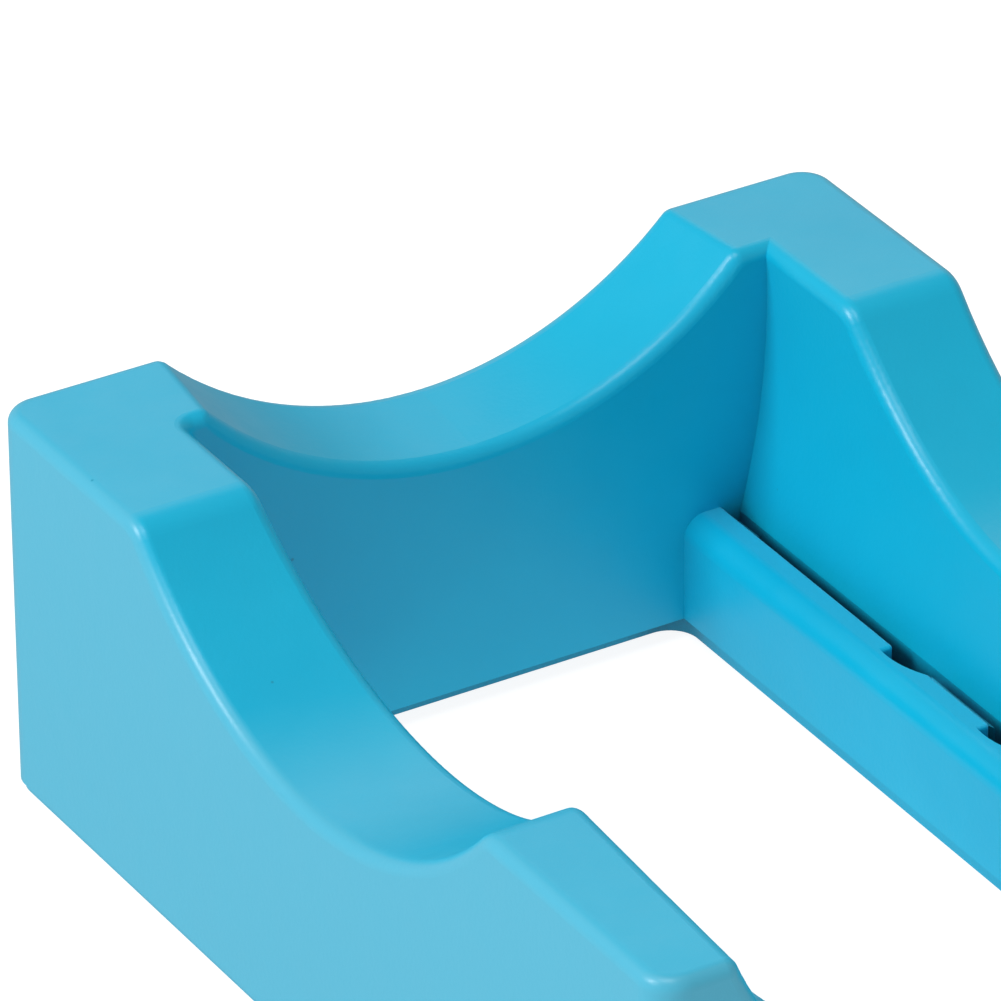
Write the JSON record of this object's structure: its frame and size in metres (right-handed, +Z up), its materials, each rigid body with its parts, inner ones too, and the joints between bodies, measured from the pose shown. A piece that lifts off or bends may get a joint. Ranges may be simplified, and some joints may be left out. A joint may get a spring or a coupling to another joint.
{
  "type": "tumbler cradle",
  "caption": "Soft rubber cradle that holds a tumbler or cup on its side: four posts, a saddle in each wall, an open well and a notched tool rack along one inner wall.",
  "frame": {"origin": "middle of the footprint, on the surface the cradle stands on", "axes": "+Z up; +Y towards the end with the shallow, narrow saddle; +X towards the tool rack"},
  "size_m": [0.116, 0.152, 0.0525],
  "materials": {
    "moulded_silicone": "satin",
    "plate_silicone": "satin",
    "rack_silicone": "satin"
  },
  "bodies": {
    "root": {"cradle_shell": "moulded_silicone", "base_plate": "plate_silicone", "tool_rack": "rack_silicone"}
  },
  "joints": []
}
